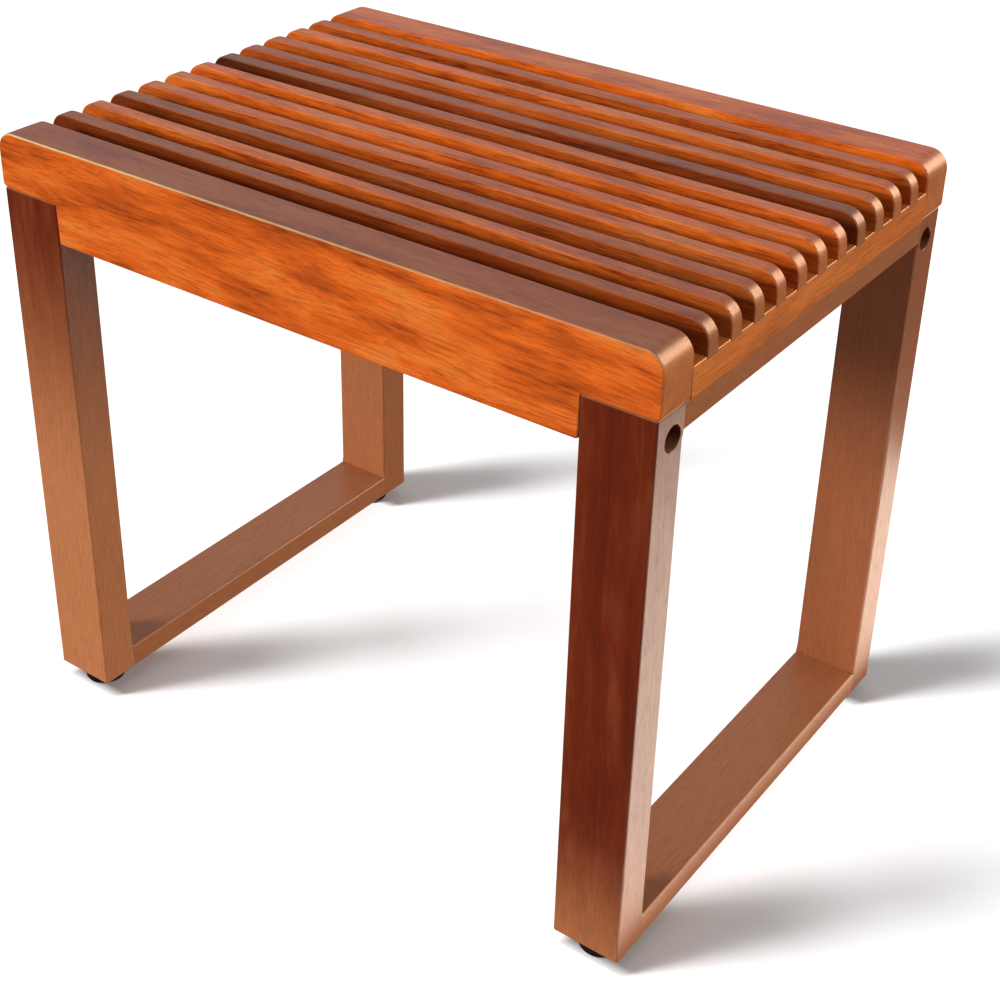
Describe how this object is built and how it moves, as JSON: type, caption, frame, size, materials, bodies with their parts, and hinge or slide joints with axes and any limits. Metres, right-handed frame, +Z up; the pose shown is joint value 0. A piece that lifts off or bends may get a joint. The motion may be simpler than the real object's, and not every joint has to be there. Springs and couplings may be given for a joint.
{
  "type": "shower stool",
  "caption": "Free-standing hardwood shower stool: slatted seat between two deep notched side rails on two closed rectangular leg frames, with levelling feet.",
  "frame": {"origin": "on the floor under the middle of the seat", "axes": "+Z up, +X along the slats, +Y from the front to the back"},
  "size_m": [0.47, 0.335, 0.412],
  "materials": {
    "side_rail_wood": "satin lacquer",
    "slat_wood": "satin lacquer",
    "dark_slat_wood": "satin lacquer",
    "frame_wood": "satin lacquer",
    "dowel_wood": "raw beech",
    "zinc_steel": "zinc plated",
    "insert_brass": "plain",
    "foot_plastic": "fine moulded texture"
  },
  "bodies": {
    "stool": {"front_rail": "side_rail_wood", "back_rail": "side_rail_wood", "end_rail_left": "slat_wood", "end_rail_right": "slat_wood", "slat_screws": "zinc_steel", "seat_dowels": "dowel_wood", "slat_01": "slat_wood", "slat_02": "slat_wood", "slat_03": "slat_wood", "slat_04": "slat_wood", "slat_05": "slat_wood", "slat_06": "slat_wood", "slat_07": "slat_wood", "slat_08": "dark_slat_wood", "slat_09": "slat_wood", "slat_10": "slat_wood", "slat_11": "slat_wood", "leg_front_left": "frame_wood", "leg_back_left": "frame_wood", "leg_front_right": "frame_wood", "leg_back_right": "frame_wood", "top_rail_left": "frame_wood", "top_rail_right": "frame_wood", "stretcher_left": "frame_wood", "stretcher_right": "frame_wood", "frame_dowels": "dowel_wood", "frame_bolts": "zinc_steel", "bolt_washers": "zinc_steel", "barrel_nuts": "zinc_steel", "foot_inserts": "insert_brass"},
    "stud_front_left": {"foot_stud_front_left": "zinc_steel"},
    "pad_front_left": {"foot_pad_front_left": "foot_plastic"},
    "stud_back_left": {"foot_stud_back_left": "zinc_steel"},
    "pad_back_left": {"foot_pad_back_left": "foot_plastic"},
    "stud_front_right": {"foot_stud_front_right": "zinc_steel"},
    "pad_front_right": {"foot_pad_front_right": "foot_plastic"},
    "stud_back_right": {"foot_stud_back_right": "zinc_steel"},
    "pad_back_right": {"foot_pad_back_right": "foot_plastic"}
  },
  "joints": [
    {"name": "foot_drop_front_left", "type": "slide", "parent": "stool", "child": "stud_front_left", "axis": [0, 0, -1], "range_m": [0, 0.01]},
    {"name": "foot_turn_front_left", "type": "hinge", "parent": "stud_front_left", "child": "pad_front_left", "pos_m": [-0.211, -0.1485, 0], "axis": [0, 0, -1], "range_deg": [0, 2880]},
    {"name": "foot_drop_back_left", "type": "slide", "parent": "stool", "child": "stud_back_left", "axis": [0, 0, -1], "range_m": [0, 0.01]},
    {"name": "foot_turn_back_left", "type": "hinge", "parent": "stud_back_left", "child": "pad_back_left", "pos_m": [-0.211, 0.1485, 0], "axis": [0, 0, -1], "range_deg": [0, 2880]},
    {"name": "foot_drop_front_right", "type": "slide", "parent": "stool", "child": "stud_front_right", "axis": [0, 0, -1], "range_m": [0, 0.01]},
    {"name": "foot_turn_front_right", "type": "hinge", "parent": "stud_front_right", "child": "pad_front_right", "pos_m": [0.211, -0.1485, 0], "axis": [0, 0, -1], "range_deg": [0, 2880]},
    {"name": "foot_drop_back_right", "type": "slide", "parent": "stool", "child": "stud_back_right", "axis": [0, 0, -1], "range_m": [0, 0.01]},
    {"name": "foot_turn_back_right", "type": "hinge", "parent": "stud_back_right", "child": "pad_back_right", "pos_m": [0.211, 0.1485, 0], "axis": [0, 0, -1], "range_deg": [0, 2880]}
  ],
  "couplings": [
    {"joint": "foot_turn_front_left", "follows": "foot_drop_front_left", "rad_per_m": 5026.5},
    {"joint": "foot_turn_back_left", "follows": "foot_drop_back_left", "rad_per_m": 5026.5},
    {"joint": "foot_turn_front_right", "follows": "foot_drop_front_right", "rad_per_m": 5026.5},
    {"joint": "foot_turn_back_right", "follows": "foot_drop_back_right", "rad_per_m": 5026.5}
  ]
}
